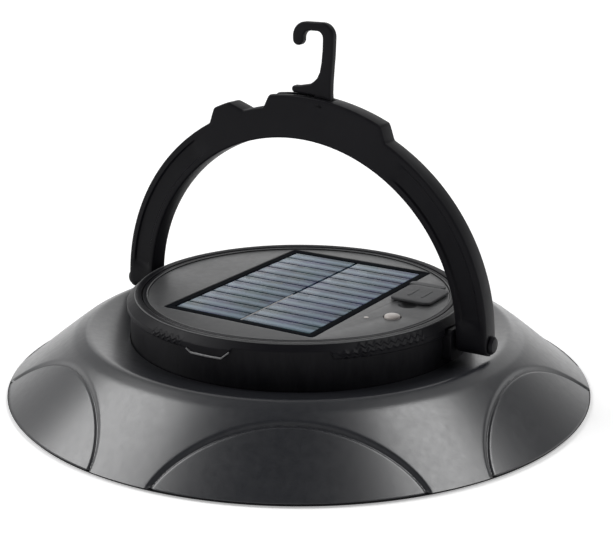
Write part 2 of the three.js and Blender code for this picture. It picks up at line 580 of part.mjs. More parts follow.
/** Outline of the bail: half ring, crown with a finger notch on its left, and straight feet. */
function bailOutline() {
  const foot = PIVOT_Z - BAIL_THICK / 2;
  const notchLip = { left: -25.5, right: -9.4 };
  const notchFloor = { left: -20.7, right: -12.2 };
  const lipPoint = (x) => onEllipse(crown, ellipseAngle(crown, x));
  const crownEnd = ellipseAngle(crown, CROWN_HALF);
  const limbEnd = ellipseAngle(BAIL_OUTER, CROWN_FOOT);
  const shape = new THREE.Shape();
  const points = [
    new THREE.Vector2(BAIL_OUTER.a, foot),
    ...arcPoints(BAIL_OUTER, 0, limbEnd, 14),
    ...arcPoints(crown, crownEnd, ellipseAngle(crown, notchLip.right), 8),
    onEllipse(BAIL_OUTER, ellipseAngle(BAIL_OUTER, notchFloor.right)),
    onEllipse(BAIL_OUTER, ellipseAngle(BAIL_OUTER, notchFloor.left)),
    lipPoint(notchLip.left),
    lipPoint(-CROWN_HALF),
    ...arcPoints(BAIL_OUTER, Math.PI - limbEnd, Math.PI, 14),
    new THREE.Vector2(-BAIL_OUTER.a, foot),
    new THREE.Vector2(-BAIL_INNER.a, foot),
    ...arcPoints(BAIL_INNER, Math.PI, 0, 40),
    new THREE.Vector2(BAIL_INNER.a, foot),
  ];
  shape.setFromPoints(points);
  return shape;
}

/** The bail's outline seen along X: straight sides on a round foot about the hinge line. */
function bailSide() {
  const shape = new THREE.Shape();
  const half = BAIL_THICK / 2;
  shape.moveTo(half, PIVOT_Z + 90);
  shape.lineTo(-half, PIVOT_Z + 90);
  shape.absarc(0, PIVOT_Z, half, Math.PI, 2 * Math.PI);
  shape.closePath();
  const geometry = new THREE.ExtrudeGeometry(shape, { depth: 160, bevelEnabled: false, curveSegments: 14 });
  geometry.applyMatrix4(new THREE.Matrix4().set(0, 0, 1, -80, 1, 0, 0, 0, 0, 1, 0, 0, 0, 0, 0, 1));
  return geometry;
}

function bail() {
  const arch = solid(upright(bailOutline(), BAIL_THICK + 2));
  const slot = solid(box(SLOT_LEFT, SLOT_RIGHT, -SLOT_WIDTH / 2, SLOT_WIDTH / 2, PIVOT_Z + 40, PIVOT_Z + 90));
  const pinBore = solid(cylinderX(-80, 80, 0, PIVOT_Z, PIN_RADIUS + GAP));
  const hookBore = solid(cylinderY(-BAIL_THICK, BAIL_THICK, HOOK_PIVOT.x, HOOK_PIVOT.z, HOOK_PIN_RADIUS + GAP));
  return geometryOf(arch.intersect(solid(bailSide())).subtract(slot).subtract(pinBore).subtract(hookBore));
}

place('bail', bail(), colours.blackPlastic);

[['left', Math.PI], ['right', 0]].forEach(([side, turn]) => {
  const head = BAIL_OUTER.a + GAP;
  const grooveRadius = PIN_RADIUS - 0.6;
  const pin = revolve([[0, CLIP_X - 1.4], [PIN_RADIUS, CLIP_X - 1.4], [PIN_RADIUS, CLIP_X - 0.6],
    [grooveRadius, CLIP_X - 0.6], [grooveRadius, CLIP_X + 0.6], [PIN_RADIUS, CLIP_X + 0.6], [PIN_RADIUS, head],
    [3, head], [3, head + 0.7], [2.2, head + 1.2], [0, head + 1.4]], SMALL_STEPS);
  const clip = revolve([[grooveRadius + GAP, CLIP_X - 0.3], [CLIP_RADIUS, CLIP_X - 0.3], [CLIP_RADIUS, CLIP_X + 0.3],
    [grooveRadius + GAP, CLIP_X + 0.3]], SMALL_STEPS);
  for (const [name, geometry, colour] of [[`bail_pin_${side}`, pin, colours.blackPlastic],
    [`pin_clip_${side}`, clip, colours.steel]]) {
    geometry.rotateY(Math.PI / 2);
    const mesh = place(name, geometry, colour);
    mesh.position.z = PIVOT_Z;
    mesh.rotation.z = turn;
  }
});

// ---------------------------------------------------------------- hook

/** The J-shaped hook with the short heel at its foot, round its own pin. */
function hookOutline() {
  const shape = new THREE.Shape();
  const knuckle = 3.2;
  shape.moveTo(HOOK_PIVOT.x + knuckle, HOOK_PIVOT.z);
  shape.lineTo(12.3, 101);
  shape.splineThru([[12.5, 105], [13.2, 111.4], [13.5, 117.6]].map(([x, z]) => new THREE.Vector2(x, z)));
  shape.bezierCurveTo(13.6, 121.2, 12.4, 123.1, 9.2, 123.1);
  shape.lineTo(2, 122.9);
  shape.bezierCurveTo(-0.8, 122.8, -1.8, 121.2, -1.8, 118.8);
  shape.lineTo(-1.8, 117.4);
  shape.absarc(0.15, 117.4, 1.95, Math.PI, 2 * Math.PI);
  shape.bezierCurveTo(2.1, 119.4, 2.4, 120.2, 3.6, 120.2);
  shape.lineTo(8, 120.2);
  shape.bezierCurveTo(9.3, 120.2, 9.5, 119.2, 9.5, 117.6);
  shape.lineTo(9.4, 114.3);
  shape.bezierCurveTo(9.2, 109, 8.6, 104, 4.9, 103.1);
  shape.lineTo(-0.6, 102.1);
  shape.bezierCurveTo(-2.4, 101.8, -2.6, 100, -1.4, 99.8);
  shape.lineTo(6.6, 99.4);
  shape.lineTo(HOOK_PIVOT.x - knuckle, HOOK_PIVOT.z);
  shape.absarc(HOOK_PIVOT.x, HOOK_PIVOT.z, knuckle, Math.PI, 2 * Math.PI);
  shape.closePath();
  return shape;
}

place('hook', carve(upright(hookOutline(), HOOK_THICK, 8), {
  cut: [cylinderY(-5, 5, HOOK_PIVOT.x, HOOK_PIVOT.z, HOOK_PIN_RADIUS + GAP)] }), colours.blackPlastic);
place('hook_pin', cylinderY(-BAIL_THICK / 2, BAIL_THICK / 2, HOOK_PIVOT.x, HOOK_PIVOT.z, HOOK_PIN_RADIUS),
  colours.blackPlastic);

export default lantern;
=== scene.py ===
import json
import math

import bmesh
import bpy
import numpy as np
from mathutils import Matrix, Vector


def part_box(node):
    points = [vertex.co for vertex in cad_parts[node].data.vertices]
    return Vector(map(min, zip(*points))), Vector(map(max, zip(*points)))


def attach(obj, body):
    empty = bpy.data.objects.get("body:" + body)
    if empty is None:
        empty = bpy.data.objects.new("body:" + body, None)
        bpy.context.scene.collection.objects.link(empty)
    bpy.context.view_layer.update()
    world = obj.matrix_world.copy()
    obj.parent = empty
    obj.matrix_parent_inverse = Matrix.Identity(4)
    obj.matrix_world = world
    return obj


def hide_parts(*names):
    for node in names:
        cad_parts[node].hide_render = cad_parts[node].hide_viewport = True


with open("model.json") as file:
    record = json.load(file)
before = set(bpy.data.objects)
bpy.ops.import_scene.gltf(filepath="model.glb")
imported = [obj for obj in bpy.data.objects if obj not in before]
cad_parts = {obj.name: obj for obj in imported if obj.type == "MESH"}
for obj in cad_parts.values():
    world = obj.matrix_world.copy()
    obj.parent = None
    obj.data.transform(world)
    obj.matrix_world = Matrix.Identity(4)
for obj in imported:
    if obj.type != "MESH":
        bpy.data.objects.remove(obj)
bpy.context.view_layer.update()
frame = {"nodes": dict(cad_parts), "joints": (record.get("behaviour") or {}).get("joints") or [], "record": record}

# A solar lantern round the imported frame. Sizes below are in millimetres, in the frame's axes:
# +Z up, +X along the bail's hinge line, -Y the front. MM turns them into Blender's metres.
MM = 0.001


def low_high(node):
    """A CAD node's lowest and highest corners in millimetres."""
    low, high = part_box(node)
    return low / MM, high / MM


JOINTS = {joint["name"]: joint for joint in frame["joints"]}

# ------------------------------------------------------------------ driving sizes

RIM_R = low_high("dome_shade")[1].y
RIM_Z = low_high("dome_shade")[0].z
DOME_HOLE_R = 57.9
DISH_Z = 17.6
RIDGE_R = 71.7
RIDGE_Z = low_high("dome_shade")[1].z
SHOULDER = (80.0, 16.2)
SHELL = 2.0
SEAT_R = 94.0
SCALLOPS = 6
SCALLOP_APEX = 79.3
SCALLOP_RADIAL = 16.0
SCALLOP_ACROSS = 41.2
SCALLOP_DROP = 0.45
GROOVE_HALF = 0.5
GROOVE_DEPTH = 0.85

HUB_R = 57.5
HUB_WALL = 2.8
HUB_FLOOR = 1.6
HUB_TOP_Z = 30.6
CAP_TOP_Z = low_high("cap_ring")[1].z
CAP_R = 58.6
CAP_LIP_R = 55.9
CAP_BORE = 53.6
CAP_EDGE_Z = 28.0
BEVEL_Z = CAP_TOP_Z - 2.5
PLATE_Z = 31.85
PLATE_R = low_high("top_plate")[1].x
PLATE_LIP_Z = low_high("top_plate")[1].z
PLATE_UNDER_Z = low_high("top_plate")[0].z

BUTTON_LOW, BUTTON_HIGH = low_high("power_button")
BUTTON_X = (BUTTON_LOW.x + BUTTON_HIGH.x) / 2
BUTTON_Y = (BUTTON_LOW.y + BUTTON_HIGH.y) / 2
BUTTON_R = 2.6
FLAP_LOW, FLAP_HIGH = low_high("port_flap")
ANCHOR_LOW, ANCHOR_HIGH = low_high("flap_anchor")
PANEL_LOW, PANEL_HIGH = low_high("panel_board")
PANEL_MARGIN = 2.6
CELL_ROWS = 11
COLUMN_GAP = 1.0

PIVOT_Z = JOINTS["bail_hinge"]["pos_m"][2] / MM
BAIL_LOW, BAIL_HIGH = low_high("bail")
BAIL_HALF = (BAIL_HIGH.y - BAIL_LOW.y) / 2
OUTER_A = BAIL_HIGH.x
OUTER_B = 69.8
INNER_A = 60.7
INNER_B = 59.4
CROWN_RISE = 4.0
FLANGE = 2.3
CHANNEL_DEPTH = 0.7
HOOK_X = JOINTS["hook_fold"]["pos_m"][0] / MM
HOOK_Z = JOINTS["hook_fold"]["pos_m"][2] / MM
HOOK_THICK = low_high("hook")[1].y - low_high("hook")[0].y
SLOT = (-19.2, 13.3, HOOK_THICK + 0.7)

# ------------------------------------------------------------------ mesh helpers


def mesh_from(vertices, faces, sharp_deg=32):
    """A Blender mesh, smooth but for edges sharper than `sharp_deg`, with its faces outwards."""
    mesh = bpy.data.meshes.new("piece")
    mesh.from_pydata((np.asarray(vertices, float) * MM).tolist(), [], faces)
    return tidied(mesh, sharp_deg)


def tidied(mesh, sharp_deg=32):
    """The mesh with doubles merged and smooth shading, except across edges sharper than the limit."""
    bm = bmesh.new()
    bm.from_mesh(mesh)
    bmesh.ops.remove_doubles(bm, verts=bm.verts, dist=1e-7)
    bmesh.ops.dissolve_degenerate(bm, edges=bm.edges, dist=1e-7)
    bmesh.ops.recalc_face_normals(bm, faces=bm.faces)
    for face in bm.faces:
        face.smooth = True
    limit = math.radians(sharp_deg)
    for edge in bm.edges:
        edge.smooth = edge.calc_face_angle(0) < limit
    bm.to_mesh(mesh)
    bm.free()
    return mesh


def piece(name, mesh, material, body="root", stands_for=()):
    """A named object that rides on a body and stands for some CAD nodes."""
    mesh.name = name
    mesh.materials.clear()
    mesh.materials.append(material)
    obj = bpy.data.objects.new(name, mesh)
    bpy.context.scene.collection.objects.link(obj)
    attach(obj, body)
    if stands_for:
        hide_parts(*stands_for)
    return obj


def lofted(rings, closed=False, sharp_deg=32):
    """A skin over equal rings of points. Closed joins the last ring to the first; else the ends are shut."""
    rings = np.asarray(rings, float)
    count, size = rings.shape[:2]
    faces = []
    for i in range(count if closed else count - 1):
        here, there = i * size, ((i + 1) % count) * size
        faces += [(here + j, here + (j + 1) % size, there + (j + 1) % size, there + j) for j in range(size)]
    if not closed:
        faces.append(tuple(range(size)))
        faces.append(tuple(range((count - 1) * size, count * size)))
    return mesh_from(rings.reshape(-1, 3), faces, sharp_deg)


def turned(profile, steps=240, sharp_deg=32):
    """A [r, z] profile turned round Z."""
    angles = np.linspace(0, 2 * math.pi, steps, endpoint=False)
    profile = np.asarray(profile, float)
    rings = [
        np.stack([profile[:, 0] * math.cos(a), profile[:, 0] * math.sin(a), profile[:, 1]], 1) for a in angles
    ]
    return lofted(rings, closed=True, sharp_deg=sharp_deg)


def round_loop(x, y, radius, steps=64):
    """A circle of points."""
    angles = np.linspace(0, 2 * math.pi, steps, endpoint=False)
    return [(x + radius * math.cos(a), y + radius * math.sin(a)) for a in angles]


def rect_loop(x0, x1, y0, y1, radius, steps=8):
    """A rectangle with round corners."""
    corners = [(x1 - radius, y1 - radius, 0), (x0 + radius, y1 - radius, 90),
               (x0 + radius, y0 + radius, 180), (x1 - radius, y0 + radius, 270)]
    turn = [math.radians(90 * i / steps) for i in range(steps + 1)]
    return [
        (x + radius * math.cos(math.radians(start) + t), y + radius * math.sin(math.radians(start) + t))
        for x, y, start in corners for t in turn
    ]


def slab(loops, low, high, bevel, upright=False, segments=3):
    """Filled outlines, later ones being holes, between two heights with rounded edges.

    Upright stands it on the XZ plane, with the heights along Y."""
    curve = bpy.data.curves.new("slab", "CURVE")
    curve.dimensions = "2D"
    curve.fill_mode = "BOTH"
    for loop in loops:
        spline = curve.splines.new("POLY")
        spline.points.add(len(loop) - 1)
        for point, (x, y) in zip(spline.points, loop):
            point.co = (x * MM, y * MM, 0, 1)
        spline.use_cyclic_u = True
    curve.extrude = ((high - low) / 2 - bevel) * MM
    curve.bevel_depth = bevel * MM
    curve.bevel_resolution = segments
    curve.offset = -bevel * MM
    holder = bpy.data.objects.new("slab", curve)
    bpy.context.scene.collection.objects.link(holder)
    bpy.context.view_layer.update()
    mesh = bpy.data.meshes.new_from_object(holder.evaluated_get(bpy.context.evaluated_depsgraph_get()))
    bpy.data.objects.remove(holder)
    bpy.data.curves.remove(curve)
    middle = (high + low) / 2 * MM
    mesh.transform(Matrix.Rotation(math.pi / 2, 4, "X") if upright else Matrix.Identity(4))
    mesh.transform(Matrix.Translation((0, middle, 0) if upright else (0, 0, middle)))
    return tidied(mesh, sharp_deg=40)


def carved(mesh, cutters, operation="DIFFERENCE"):
    """The mesh with each cutter mesh taken away or joined on."""
    body = bpy.data.objects.new("carved", mesh)
    bpy.context.scene.collection.objects.link(body)
    tools = []
    for cutter in cutters:
        tool = bpy.data.objects.new("cutter", cutter)
        bpy.context.scene.collection.objects.link(tool)
        modifier = body.modifiers.new("cut", "BOOLEAN")
        modifier.operation = operation
        modifier.solver = "EXACT"
        modifier.object = tool
        tools.append(tool)
    bpy.context.view_layer.update()
    result = bpy.data.meshes.new_from_object(body.evaluated_get(bpy.context.evaluated_depsgraph_get()))
    for obj in [body, *tools]:
        bpy.data.objects.remove(obj)
    return tidied(result)


def block(x0, x1, y0, y1, z0, z1):
    """A plain box."""
    corners = [(x, y, z) for x in (x0, x1) for y in (y0, y1) for z in (z0, z1)]
    faces = [(0, 1, 3, 2), (4, 6, 7, 5), (0, 4, 5, 1), (2, 3, 7, 6), (0, 2, 6, 4), (1, 5, 7, 3)]
    return mesh_from(corners, faces)


def softened(points, width):
    """A height along a line of points, with its corners rounded over about `width`."""
    xs, ys = np.asarray(points, float).T
    step = width / 12
    grid = np.arange(xs[0] - 2 * width, xs[-1] + 2 * width, step)
    ends = np.interp(grid, xs, ys)
    slope_low = (ys[1] - ys[0]) / (xs[1] - xs[0])
    slope_high = (ys[-1] - ys[-2]) / (xs[-1] - xs[-2])
    ends = np.where(grid < xs[0], ys[0] + (grid - xs[0]) * slope_low, ends)
    ends = np.where(grid > xs[-1], ys[-1] + (grid - xs[-1]) * slope_high, ends)
    kernel = np.hanning(25)
    smooth = np.convolve(ends, kernel / kernel.sum(), "same")
    return lambda x: np.interp(x, grid[12:-12], smooth[12:-12])


# ------------------------------------------------------------------ material helpers


class Nodes:
    """A material's node tree with short calls."""

    def __init__(self, name):
        self.material = bpy.data.materials.new(name)
        self.material.use_nodes = True
        self.tree = self.material.node_tree
        self.shader = self.tree.nodes["Principled BSDF"]
        coordinates = self.tree.nodes.new("ShaderNodeTexCoord")
        self.place = coordinates.outputs["Object"]

    def link(self, source, target):
        self.tree.links.new(source, target)

    def set(self, **values):
        for name, value in values.items():
            self.shader.inputs[name.replace("_", " ")].default_value = value

    def noise(self, scale, detail=4.0, roughness=0.55, stretch=None):
        node = self.tree.nodes.new("ShaderNodeTexNoise")
        node.inputs["Scale"].default_value = scale
        node.inputs["Detail"].default_value = detail
        node.inputs["Roughness"].default_value = roughness
        self.link(self.stretched(stretch) if stretch else self.place, node.inputs["Vector"])
        return node.outputs["Fac"]

    def stretched(self, factors):
        node = self.tree.nodes.new("ShaderNodeMapping")
        node.inputs["Scale"].default_value = factors
        self.link(self.place, node.inputs["Vector"])
        return node.outputs["Vector"]

    def cells(self, scale, feature="F1"):
        node = self.tree.nodes.new("ShaderNodeTexVoronoi")
        node.feature = feature
        node.inputs["Scale"].default_value = scale
        self.link(self.place, node.inputs["Vector"])
        return node

    def spread(self, value, low, high, to_low=0.0, to_high=1.0):
        node = self.tree.nodes.new("ShaderNodeMapRange")
        for socket, number in zip(("From Min", "From Max", "To Min", "To Max"), (low, high, to_low, to_high)):
            node.inputs[socket].default_value = number
        self.link(value, node.inputs["Value"])
        return node.outputs["Result"]

    def mix(self, amount, low, high):
        """A colour between two, each a colour or another node's output."""
        node = self.tree.nodes.new("ShaderNodeMix")
        node.data_type = "RGBA"
        self.link(amount, node.inputs["Factor"])
        sockets = [s for s in node.inputs if s.type == "RGBA"]
        for socket, colour in zip(sockets, (low, high)):
            if isinstance(colour, bpy.types.NodeSocket):
                self.link(colour, socket)
            else:
                socket.default_value = (*colour, 1)
        return next(s for s in node.outputs if s.type == "RGBA")

    def math(self, operation, first, second=0.0):
        node = self.tree.nodes.new("ShaderNodeMath")
        node.operation = operation
        for socket, value in zip(node.inputs, (first, second)):
            if isinstance(value, bpy.types.NodeSocket):
                self.link(value, socket)
            else:
                socket.default_value = value
        return node.outputs["Value"]

    def edges(self, low=0.52, high=0.62):
        """1 on worn outside edges, 0 elsewhere."""
        node = self.tree.nodes.new("ShaderNodeNewGeometry")
        return self.spread(node.outputs["Pointiness"], low, high)

    def bump(self, height, strength, depth_mm):
        node = self.tree.nodes.new("ShaderNodeBump")
        node.inputs["Strength"].default_value = strength
        node.inputs["Distance"].default_value = depth_mm * MM
        self.link(height, node.inputs["Height"])
        self.link(node.outputs["Normal"], self.shader.inputs["Normal"])


def moulded(name, colour, rough, grain_per_m=1400, grain=0.25, wear=0.35, tint=0.12, **constants):
    """Moulded plastic: fine grain, cloudy colour and gloss, and paler worn edges."""
    n = Nodes(name)
    cloud = n.noise(28, 5)
    grain_field = n.noise(grain_per_m, 2)
    scuffs = n.noise(420, 6, 0.7, stretch=(1, 1, 0.25))
    darker = tuple(c * (1 - tint) for c in colour)
    paler = tuple(min(1, c * (1 + tint) + 0.002) for c in colour)
    worn = tuple(min(1, c * 2.2 + 0.03) for c in colour)
    body = n.mix(n.spread(cloud, 0.3, 0.7), darker, paler)
    edge = n.math("MULTIPLY", n.edges(), n.spread(scuffs, 0.35, 0.75, 0, wear))
    n.link(n.mix(edge, body, worn), n.shader.inputs["Base Color"])
    n.link(n.spread(scuffs, 0.25, 0.8, rough - 0.05, rough + 0.07), n.shader.inputs["Roughness"])
    n.bump(grain_field, grain, 0.05)
    n.set(**constants)
    return n.material


def solar_silicon():
    """Blue-grey silicon: crystal flakes, thin silver fingers and a pale soft band along each strip."""
    n = Nodes("solar_silicon")
    split = n.tree.nodes.new("ShaderNodeSeparateXYZ")
    n.link(n.place, split.inputs["Vector"])
    flakes = n.cells(260).outputs["Color"]
    flake = n.tree.nodes.new("ShaderNodeSeparateColor")
    n.link(flakes, flake.inputs["Color"])
    violet = n.mix(flake.outputs["Red"], (0.012, 0.02, 0.06), (0.034, 0.05, 0.13))
    teal = n.mix(flake.outputs["Red"], (0.006, 0.03, 0.045), (0.022, 0.07, 0.09))
    silicon = n.mix(n.spread(n.noise(60, 2), 0.4, 0.6), violet, teal)
    finger = n.math("PINGPONG", split.outputs["X"], 0.9 * MM)
    on_finger = n.spread(finger, 0.0, 0.12 * MM, 0.35, 0.0)
    pitch = (PANEL_HIGH.y - PANEL_LOW.y - 2 * PANEL_MARGIN) / CELL_ROWS * MM
    from_edge = n.math("SUBTRACT", split.outputs["Y"], (PANEL_LOW.y + PANEL_MARGIN) * MM)
    across = n.math("MODULO", from_edge, pitch)
    collector = n.math("ABSOLUTE", n.math("SUBTRACT", across, pitch * 0.42))
    on_collector = n.spread(collector, 0.6 * MM, 1.8 * MM, 1.0, 0.0)
    silver = n.math("MAXIMUM", on_finger, on_collector)
    n.link(n.mix(silver, silicon, (0.12, 0.18, 0.24)), n.shader.inputs["Base Color"])
    n.link(n.spread(flake.outputs["Green"], 0, 1, 0.22, 0.34), n.shader.inputs["Roughness"])
    n.bump(silver, 0.3, 0.04)
    n.set(Specular_IOR_Level=0.12, Coat_Weight=0.1, Coat_Roughness=0.12)
    return n.material


def frosted_plastic():
    """Milky plastic with a fine frost and a soft glow inside it."""
    n = Nodes("frosted_plastic")
    haze = n.noise(35, 3)
    milk = n.mix(n.spread(haze, 0.35, 0.65), (0.8, 0.81, 0.79), (0.9, 0.9, 0.88))
    n.link(milk, n.shader.inputs["Base Color"])
    n.link(n.spread(n.noise(900, 2), 0.3, 0.7, 0.38, 0.5), n.shader.inputs["Roughness"])
    n.bump(n.noise(1500, 2), 0.3, 0.04)
    n.set(Subsurface_Weight=0.4, Subsurface_Scale=0.004, Subsurface_Radius=(1, 1, 1), IOR=1.49)
    return n.material


def button_plastic():
    """Warm translucent white."""
    n = Nodes("button_plastic")
    n.link(n.mix(n.spread(n.noise(220, 3), 0.3, 0.7), (0.56, 0.51, 0.48), (0.66, 0.61, 0.58)),
           n.shader.inputs["Base Color"])
    n.link(n.spread(n.noise(700, 2), 0.3, 0.7, 0.3, 0.42), n.shader.inputs["Roughness"])
    n.bump(n.noise(1600, 2), 0.2, 0.03)
    n.set(Subsurface_Weight=0.3, Subsurface_Scale=0.001, Subsurface_Radius=(1, 1, 1))
    return n.material


def brushed_steel():
    """Plain steel with fine streaks."""
    n = Nodes("brushed_steel")
    streaks = n.noise(900, 3, stretch=(1, 1, 12))
    metal = n.mix(n.spread(streaks, 0.3, 0.7), (0.36, 0.37, 0.38), (0.55, 0.56, 0.57))
    n.link(metal, n.shader.inputs["Base Color"])
    n.link(n.spread(streaks, 0.3, 0.7, 0.24, 0.4), n.shader.inputs["Roughness"])
    n.bump(streaks, 0.2, 0.02)
    n.set(Metallic=1.0)
    return n.material


def circuit_green():
    """Green solder mask with paler copper tracks under it."""
    n = Nodes("circuit_green")
    tracks = n.cells(380, "DISTANCE_TO_EDGE").outputs["Distance"]
    board = n.mix(n.spread(tracks, 0.02, 0.06), (0.04, 0.2, 0.1), (0.012, 0.09, 0.045))
    n.link(board, n.shader.inputs["Base Color"])
    n.link(n.spread(n.noise(300, 2), 0.3, 0.7, 0.3, 0.45), n.shader.inputs["Roughness"])
    n.bump(tracks, 0.2, 0.03)
    return n.material


MATERIALS = {
    "shade_plastic": moulded("pearl_shade", (0.0115, 0.0125, 0.0165), 0.36, 2600, 0.10,
                             Specular_IOR_Level=0.75, Coat_Weight=0.45, Coat_Roughness=0.24),
    "black_plastic": moulded("black_plastic", (0.0052, 0.005, 0.0068), 0.42, 1500, 0.25,
                             Specular_IOR_Level=0.1),
    # Pale grey: the painted highlight on the tab's bead, and the cell ribbon's own colour.
    "highlight_and_ribbon_grey": moulded("highlight_and_ribbon_grey", (0.16, 0.16, 0.165), 0.3, 1500, 0.1),
    "hub_top_plastic": moulded("hub_top", (0.056, 0.057, 0.059), 0.42, 1800, 0.2),
    "panel_black": moulded("panel_black", (0.003, 0.004, 0.006), 0.5, 900, 0.08, wear=0.05,
                           Specular_IOR_Level=0.003),
    "clear_resin": moulded("resin", (0.05, 0.07, 0.1), 0.1, 300, 0.05),
    "rubber": moulded("soft_rubber", (0.056, 0.057, 0.06), 0.55, 1900, 0.3, wear=0.2,
                      Specular_IOR_Level=0.35),
    "white_board": moulded("white_board", (0.72, 0.72, 0.69), 0.5, 900, 0.1, wear=0.0, tint=0.04),
    "led_package": moulded("led_package", (0.8, 0.62, 0.22), 0.3, 900, 0.1, wear=0.0),
    "cell_wrap": moulded("cell_wrap", (0.02, 0.12, 0.26), 0.32, 500, 0.1),
    "solar_cell": solar_silicon(),
    "frosted_plastic": frosted_plastic(),
    "button_plastic": button_plastic(),
    "steel": brushed_steel(),
    "circuit_board": circuit_green(),
}

# ------------------------------------------------------------------ dome


def dome_profile():
    """Height of the dome's outside against radius: dish, rounded ridge, convex shoulder, straight cone."""
    slope = (SHOULDER[1] - RIM_Z) / (RIM_R - SHOULDER[0])
    bend = [(RIDGE_R + 1.7, RIDGE_Z - 0.55), (76.6, 18.75)]
    points = [(DOME_HOLE_R, DISH_Z), (RIDGE_R - 1.2, RIDGE_Z - 0.25), (RIDGE_R + 0.3, RIDGE_Z + 0.05), *bend,
              SHOULDER, (90, SHOULDER[1] - slope * 10), (RIM_R, RIM_Z)]
    return softened(points, 1.5)


def scallop_edge(x, y):
    """Distance outside the nearest scallop's edge, seen from above; negative inside it."""
    nearest = np.full(np.shape(x), 1e3)
    for i in range(SCALLOPS):
        angle = 2 * math.pi * i / SCALLOPS
        u = (x * math.cos(angle) + y * math.sin(angle) - SCALLOP_APEX - SCALLOP_RADIAL) / SCALLOP_RADIAL
        v = (-x * math.sin(angle) + y * math.cos(angle)) / SCALLOP_ACROSS
        level = np.hypot(u, v)
        steep = np.hypot(u / SCALLOP_RADIAL, v / SCALLOP_ACROSS) / np.maximum(level, 1e-6)
        nearest = np.minimum(nearest, (level - 1) / np.maximum(steep, 1e-6))
    return nearest


def dome():
    """The shade: its outside, with the scallops sunk a little inside a grooved edge, over a plain inside."""
    height = dome_profile()
    flat_part = np.linspace(DOME_HOLE_R, SCALLOP_APEX - 1.5, 34)
    fine_part = np.linspace(SCALLOP_APEX - 1.1, RIM_R, 74)
    outside = np.concatenate([flat_part, fine_part])
    inside = [(SEAT_R, RIM_Z), (SEAT_R, 3.4), (SEAT_R - 1, 3.6), (SHOULDER[0], 13.0),
              (RIDGE_R, RIDGE_Z - 2.6), (DOME_HOLE_R, DISH_Z - SHELL)]
    rings = []
    for angle in np.linspace(0, 2 * math.pi, 1620, endpoint=False):
        c, s = math.cos(angle), math.sin(angle)
        distance = scallop_edge(outside * c, outside * s)
        sunk = SCALLOP_DROP / (1 + np.exp(distance / 0.22))
        groove = GROOVE_DEPTH * np.exp(-(distance / GROOVE_HALF) ** 2)
        z = np.maximum(height(outside) - sunk - groove, RIM_Z)
        rows = [(r * c, r * s, h) for r, h in zip(outside, z)]
        rows += [(r * c, r * s, h) for r, h in inside]
        rings.append(rows)
    piece("dome_skin", lofted(rings, closed=True, sharp_deg=50), MATERIALS["shade_plastic"],
          stands_for=["dome_shade"])


def underside():
    """The black ring that the lantern stands on, and the ribbed frosted lens inside it."""
    inner, outer = SEAT_R - 4, RIM_R - 0.7
    ring = [(inner, 0.3), (inner + 0.3, 0), (outer - 0.5, 0), (outer - 0.15, 0.15), (outer, 0.45),
            (outer, RIM_Z - 0.3), (inner, RIM_Z - 0.3)]
    piece("base_ring_fine", turned(ring, 360), MATERIALS["black_plastic"],
          stands_for=["base_ring"])
    low, high = low_high("diffuser_lens")
    edge = SEAT_R - 0.4
    radii = np.arange(0, inner - 1, 0.5)
    crown = low.z + 1.9 * (1 - (radii / edge) ** 2)
    ribs = crown + 0.12 * np.cos(radii * 2 * math.pi / 3)
    under = [(r, z) for r, z in zip(radii, ribs)]
    over = [(edge, low.z), (edge, low.z + 1.7), (edge - 6, low.z + 1.8), (40, high.z - 0.4), (0, high.z)]
    profile = [*under, *over]
    piece("lens_fine", turned(profile, 240, 60), MATERIALS["frosted_plastic"],
          stands_for=["diffuser_lens"])


# ------------------------------------------------------------------ hub and cap

BOSS_HALF = 5.5
BOSS_TOP_Z = 29.6
BOSS_FACE = 60.1
# The cap's thumb tab and the raised stretch of its skirt: angles in degrees, heights of the edge in mm.
TAB = {"left": -92.6, "right": -82, "z": 26.95}
STEP = {"left": -78.6, "right": -48.6, "z": 30.4}


def hub():
    """The hub's cup, with its floor, and the two bosses that carry the bail."""
    floor_z = low_high("hub_housing")[0].z
    inner = HUB_R - HUB_WALL
    floor_top = floor_z + HUB_FLOOR
    cup = [(0, floor_z), (HUB_R, floor_z), (HUB_R, HUB_TOP_Z - 0.2), (HUB_R - 0.2, HUB_TOP_Z),
           (inner, HUB_TOP_Z), (inner, floor_top), (0, floor_top)]
    piece("hub_wall", turned(cup, 300), MATERIALS["black_plastic"],
          stands_for=["hub_housing"])
    for side, name in ((1, "hub_boss_right"), (-1, "hub_boss_left")):
        outline = rect_loop(-BOSS_HALF, BOSS_HALF, DISH_Z + 1.4, BOSS_TOP_Z, 2.2)
        block_mesh = slab([outline], HUB_R - 1.2, BOSS_FACE, 0.4)
        block_mesh.transform(Matrix(((0, 0, side, 0), (side, 0, 0, 0), (0, 1, 0, 0), (0, 0, 0, 1))))
        piece(name, tidied(block_mesh), MATERIALS["black_plastic"])


def skirt_edge(degrees):
    """Lower edge of the cap's skirt against the angle round the hub."""
    edge = [(-180, CAP_EDGE_Z), (TAB["left"] - 1, CAP_EDGE_Z), (TAB["left"], TAB["z"]),
            (TAB["right"], TAB["z"]), (STEP["left"], STEP["z"] - 0.1), (STEP["right"], STEP["z"]),
            (STEP["right"] + 1, CAP_EDGE_Z), (180, CAP_EDGE_Z)]
    return np.interp(degrees, *zip(*edge))


def knurl(degrees, z):
    """Height of the zigzag relief on the skirt."""
    zones = [(-111, -96, (28.9, 30.2)), (-47, -35, (28.6, 29.8)), (-41, -15, (30.1, 31.3)),
             (135, 175, (28.9, 30.2))]
    total = 0.0
    for start, end, rows in zones:
        if start < degrees < end:
            fade = min(1, (degrees - start) / 2, (end - degrees) / 2)
            wave = abs(((degrees / 2.6) % 1) - 0.5) * 2 - 0.5
            total += sum(fade * 0.3 * math.exp(-(((z - row - wave * 0.9) / 0.32) ** 2)) for row in rows)
    return total


